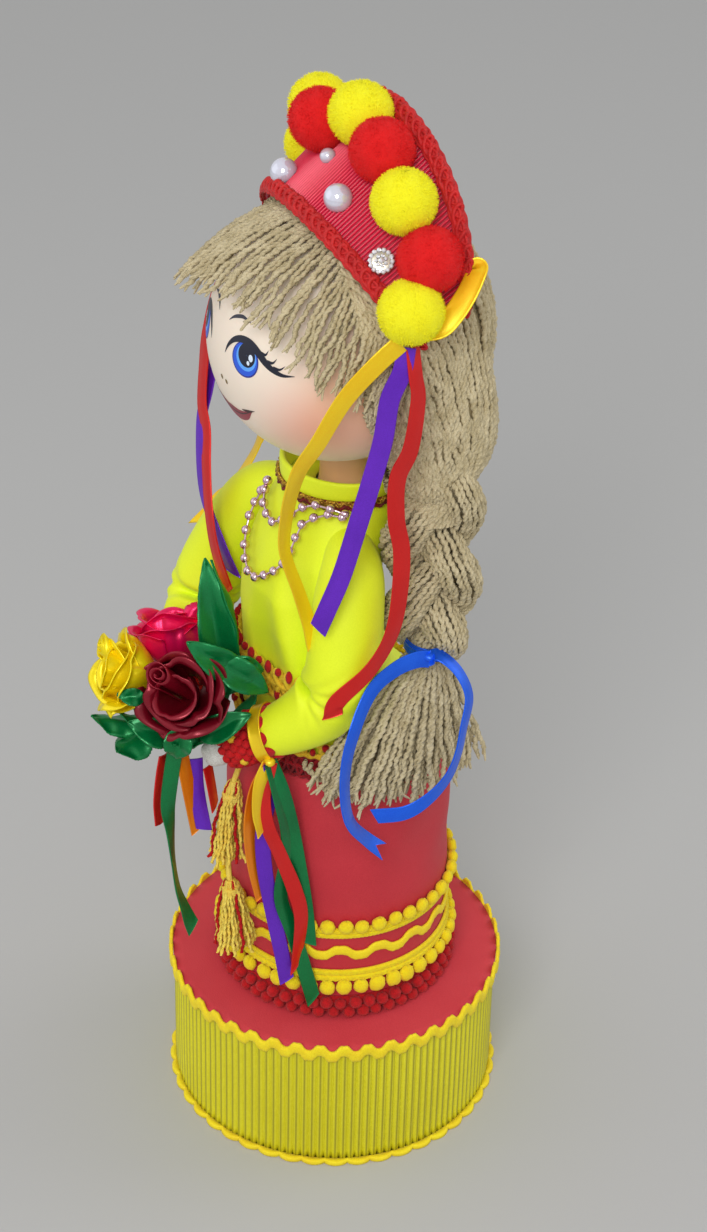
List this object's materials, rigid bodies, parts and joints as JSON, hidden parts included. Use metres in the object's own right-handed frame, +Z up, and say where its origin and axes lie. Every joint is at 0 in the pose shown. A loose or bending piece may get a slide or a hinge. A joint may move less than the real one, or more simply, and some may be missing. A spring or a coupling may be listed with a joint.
{
  "type": "yarn doll",
  "caption": "Standing folk doll with a yarn braid, a ribbed headdress with pompoms and ribbons, a bouquet in its hands, and a round stand covered in ribbed card.",
  "frame": {"origin": "centre of the underside of the round stand", "axes": "+Z up along the doll, the face looks along -Y, the doll's left hand is on +X"},
  "size_m": [0.1248, 0.1474, 0.3814],
  "materials": {
    "foam": "white craft foam",
    "card_yellow": "ribbed craft card",
    "foam_sheet_red": "felt-like foam sheet",
    "trim_yellow": "bobble trim and wavy tape",
    "trim_red": "bobble trim",
    "lace_red": "crochet lace",
    "skirt_cloth": "matt foam sheet or felt",
    "blouse_cloth": "smooth knit",
    "collar_braid": "metallic braid",
    "skin": "painted ball, satin",
    "hand_cloth": "stuffed cotton",
    "yarn": "twisted jute-coloured yarn",
    "band_card": "metallic ribbed card, glossy",
    "gimp": "gimp braid",
    "pompom_yellow": "fluffy",
    "pompom_red": "fluffy",
    "satin_gold": "satin",
    "satin_purple": "satin",
    "satin_red": "satin",
    "satin_blue": "satin",
    "satin_green": "satin",
    "satin_burgundy": "satin",
    "satin_pink": "satin",
    "satin_mixed": "satin strips of several colours",
    "beads": "silvered beads",
    "dowel": "plain",
    "tassel": "yarn"
  },
  "bodies": {
    "doll": {"back_gimp": "gimp", "bead_string_long": "beads", "bead_string_short": "beads", "blouse": "blouse_cloth", "blouse_hem_trim": "trim_yellow", "bouquet_leaves": "satin_green", "collar": "blouse_cloth", "collar_braid": "collar_braid", "fringe": "yarn", "front_gimp": "gimp", "hair_cap": "yarn", "head": "skin", "headdress_band": "band_card", "hem_red_trim": "trim_red", "hem_yellow_trim": "trim_yellow", "lace_belt": "lace_red", "left_hand": "hand_cloth", "left_sleeve": "blouse_cloth", "left_wristband": "trim_red", "neck": "skin", "pompom_1": "pompom_yellow", "pompom_2": "pompom_red", "pompom_3": "pompom_yellow", "pompom_4": "pompom_red", "pompom_5": "pompom_yellow", "pompom_6": "pompom_red", "pompom_7": "pompom_yellow", "pompom_8": "pompom_red", "pompom_9": "pompom_yellow", "right_hand": "hand_cloth", "right_sleeve": "blouse_cloth", "right_wristband": "trim_red", "rose_burgundy": "satin_burgundy", "rose_pink": "satin_pink", "rose_yellow": "satin_gold", "skirt": "skirt_cloth", "skirt_core": "foam", "skirt_ricrac": "trim_yellow", "spine_dowel": "dowel", "stand_card_wall": "card_yellow", "stand_foam": "foam", "stand_foot_trim": "trim_yellow", "stand_top_sheet": "foam_sheet_red", "stand_top_trim": "trim_yellow", "torso_core": "foam", "upper_yellow_trim": "trim_yellow"},
    "braid": {"braid_strand_1": "yarn", "braid_strand_2": "yarn", "braid_strand_3": "yarn", "braid_tail": "yarn", "braid_ribbon": "satin_blue"},
    "left_ribbons": {"left_ribbon_yellow": "satin_gold", "left_ribbon_purple": "satin_purple", "left_ribbon_red": "satin_red"},
    "right_ribbons": {"right_ribbon_red": "satin_red", "right_ribbon_purple": "satin_purple", "right_ribbon_yellow": "satin_gold"},
    "bouquet_ribbons": {"bouquet_ribbons": "satin_mixed"},
    "wrist_ribbons": {"wrist_ribbons": "satin_mixed"},
    "belt_tassels": {"belt_tassels": "tassel"}
  },
  "joints": [
    {"name": "braid_swing", "type": "hinge", "parent": "doll", "child": "braid", "pos_m": [0.0361, 0.0166, 0.2494], "axis": [0.769, -0.6392, 0], "range_deg": [0, 30]},
    {"name": "left_ribbons_swing", "type": "hinge", "parent": "doll", "child": "left_ribbons", "pos_m": [0.047, -0.003, 0.315], "axis": [-1, 0, 0], "range_deg": [0, 30]},
    {"name": "right_ribbons_swing", "type": "hinge", "parent": "doll", "child": "right_ribbons", "pos_m": [-0.047, -0.003, 0.315], "axis": [-1, 0, 0], "range_deg": [0, 25]},
    {"name": "bouquet_ribbons_swing", "type": "hinge", "parent": "doll", "child": "bouquet_ribbons", "pos_m": [0, -0.06, 0.164], "axis": [-1, 0, 0], "range_deg": [0, 30]},
    {"name": "wrist_ribbons_swing", "type": "hinge", "parent": "doll", "child": "wrist_ribbons", "pos_m": [0.0262, -0.0458, 0.162], "axis": [-0.7507, -0.6606, 0], "range_deg": [0, 30]},
    {"name": "belt_tassels_swing", "type": "hinge", "parent": "doll", "child": "belt_tassels", "pos_m": [0.0021, -0.0359, 0.1533], "axis": [-0.9798, -0.2, 0], "range_deg": [0, 6]}
  ]
}
